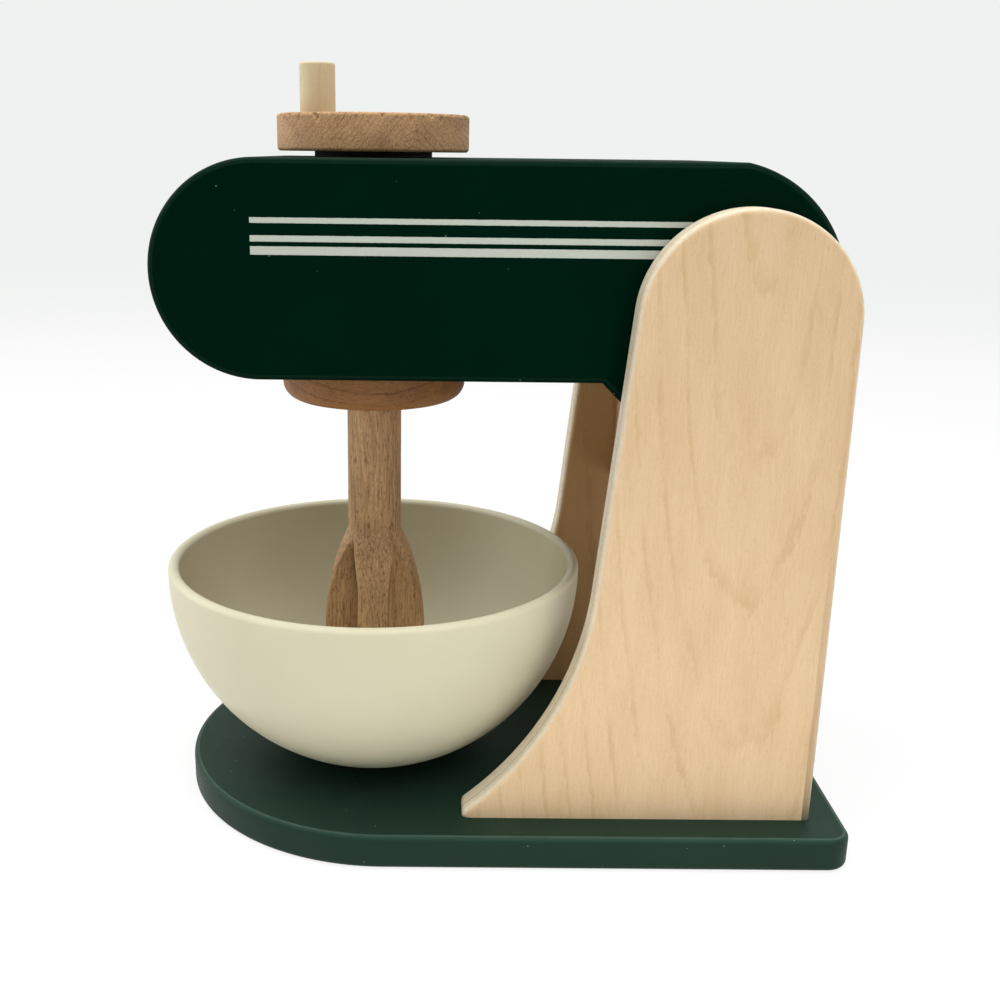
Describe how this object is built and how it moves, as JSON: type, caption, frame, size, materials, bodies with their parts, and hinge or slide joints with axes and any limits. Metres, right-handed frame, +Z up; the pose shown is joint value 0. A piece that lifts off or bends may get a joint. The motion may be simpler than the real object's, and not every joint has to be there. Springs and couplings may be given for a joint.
{
  "type": "toy stand mixer",
  "caption": "Wooden toy stand mixer: tilting head between side panels, hand crank on top that turns a beater, loose bowl on a base board.",
  "frame": {"origin": "on the beater's axis at floor level, under the middle of the bowl", "axes": "+Z up, +X from the nose of the head to the side panels at the rear, +Y to the far side panel"},
  "size_m": [0.2397, 0.152, 0.2593],
  "materials": {
    "green_paint": "satin paint",
    "maple_veneer": "matt lacquer",
    "birch_dowel": "bare",
    "beech": "oiled",
    "cream_bowl": "satin",
    "felt": "felt",
    "zinc_steel": "zinc plated"
  },
  "bodies": {
    "frame": {"base_board": "green_paint", "right_panel": "maple_veneer", "left_panel": "maple_veneer", "cross_rail": "maple_veneer", "rail_dowels": "birch_dowel", "panel_screws": "zinc_steel", "pivot_dowel": "birch_dowel", "pivot_washers": "felt"},
    "head": {"head_core": "green_paint", "right_cheek": "green_paint", "left_cheek": "green_paint"},
    "crank": {"crank_disc": "beech", "crank_handle": "birch_dowel", "crank_washer": "felt", "spindle": "birch_dowel", "collar": "beech", "beater": "beech"},
    "bowl": {"bowl": "cream_bowl"}
  },
  "joints": [
    {"name": "head_tilt", "type": "hinge", "parent": "frame", "child": "head", "pos_m": [0.1082, 0, 0.1876], "axis": [0, 1, 0], "range_deg": [0, 50]},
    {"name": "crank_spin", "type": "hinge", "parent": "head", "child": "crank", "pos_m": [0, 0, 0.2], "axis": [0, 0, 1], "continuous": true},
    {"name": "bowl_lift", "type": "slide", "parent": "frame", "child": "bowl", "axis": [0, 0, 1], "range_m": [0, 0.005]}
  ]
}
